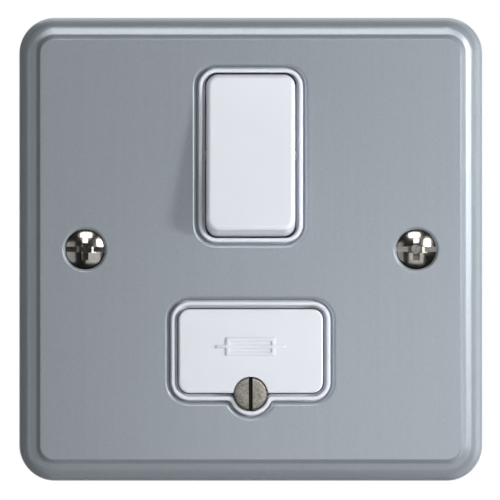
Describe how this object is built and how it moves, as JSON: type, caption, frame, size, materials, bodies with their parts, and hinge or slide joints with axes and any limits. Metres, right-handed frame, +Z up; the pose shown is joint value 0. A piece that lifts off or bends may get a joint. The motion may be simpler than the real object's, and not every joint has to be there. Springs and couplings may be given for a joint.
{
  "type": "switched fused connection unit",
  "caption": "Square single-gang metal-plate wall unit with a double-pole rocker switch over a pull-out cartridge fuse carrier held by a captive screw.",
  "frame": {"origin": "midway between the two fixing screws, on the wall plane where the plate's rear rim lies", "axes": "+Z up, +X to the right as seen from the room, +Y into the wall"},
  "size_m": [0.0844, 0.03, 0.0844],
  "materials": {
    "plate_finish": "satin metallic grey lacquer",
    "white_moulding": "smooth white urea moulding",
    "housing_moulding": "plain white moulding",
    "nickel_plate": "bright nickel plate",
    "screw_matt": "dull nickel plate",
    "zinc_plate": "bright zinc plate",
    "brass": "turned and drawn brass",
    "strip_brass": "pressed brass strip",
    "silver": "silver alloy contact",
    "spring_steel": "spring wire",
    "plunger_plastic": "low-friction plastic",
    "fuse_ceramic": "unglazed ceramic tube"
  },
  "bodies": {
    "unit": {"front_plate": "plate_finish", "front_moulding": "white_moulding", "rear_housing": "housing_moulding", "plate_bushes": "zinc_plate", "assembly_screws": "zinc_plate", "fixing_screws": "nickel_plate", "supply_live_terminal": "brass", "supply_neutral_terminal": "brass", "supply_earth_terminal": "brass", "load_live_terminal": "brass", "load_neutral_terminal": "brass", "load_earth_terminal": "brass", "terminal_screws": "zinc_plate", "supply_live_strip": "strip_brass", "supply_neutral_strip": "strip_brass", "live_link": "strip_brass", "load_live_strip": "strip_brass", "load_neutral_strip": "strip_brass", "supply_earth_strap": "strip_brass", "load_earth_strap": "strip_brass", "fixed_contact_tips": "silver", "carrier_insert": "brass"},
    "rocker": {"rocker": "white_moulding", "live_plunger_spring": "spring_steel", "neutral_plunger_spring": "spring_steel"},
    "live_plunger": {"live_plunger": "plunger_plastic"},
    "neutral_plunger": {"neutral_plunger": "plunger_plastic"},
    "live_seesaw": {"live_moving_contact": "strip_brass", "live_moving_tip": "silver"},
    "neutral_seesaw": {"neutral_moving_contact": "strip_brass", "neutral_moving_tip": "silver"},
    "carrier": {"fuse_carrier": "white_moulding", "fuse_barrel": "fuse_ceramic", "fuse_caps": "nickel_plate"},
    "carrier_screw": {"carrier_screw": "screw_matt", "carrier_screw_washer": "zinc_plate"}
  },
  "joints": [
    {"name": "rocker_tilt", "type": "hinge", "parent": "unit", "child": "rocker", "pos_m": [0, -0.006, 0.0171], "axis": [1, 0, 0], "range_deg": [0, 14]},
    {"name": "live_seesaw_tilt", "type": "hinge", "parent": "unit", "child": "live_seesaw", "pos_m": [0.004, 0.0041, 0.0171], "axis": [1, 0, 0], "range_deg": [-24, 0]},
    {"name": "neutral_seesaw_tilt", "type": "hinge", "parent": "unit", "child": "neutral_seesaw", "pos_m": [-0.004, 0.0041, 0.0171], "axis": [1, 0, 0], "range_deg": [-24, 0]},
    {"name": "live_plunger_slide", "type": "slide", "parent": "rocker", "child": "live_plunger", "axis": [0, -0.9925, 0.1219], "range_m": [0, 0.0006], "stiffness_N_per_m": 500, "springref_m": -0.002, "deforming": ["live_plunger_spring"]},
    {"name": "neutral_plunger_slide", "type": "slide", "parent": "rocker", "child": "neutral_plunger", "axis": [0, -0.9925, 0.1219], "range_m": [0, 0.0006], "stiffness_N_per_m": 500, "springref_m": -0.002, "deforming": ["neutral_plunger_spring"]},
    {"name": "carrier_slide", "type": "slide", "parent": "unit", "child": "carrier", "axis": [0, -1, 0], "range_m": [0, 0.018]},
    {"name": "carrier_screw_turn", "type": "hinge", "parent": "carrier", "child": "carrier_screw", "pos_m": [0, -0.0092, -0.0263], "axis": [0, 1, 0], "continuous": true}
  ],
  "couplings": [
    {"joint": "live_seesaw_tilt", "follows": "rocker_tilt", "ratio": -1.7143},
    {"joint": "neutral_seesaw_tilt", "follows": "rocker_tilt", "ratio": -1.7143}
  ]
}
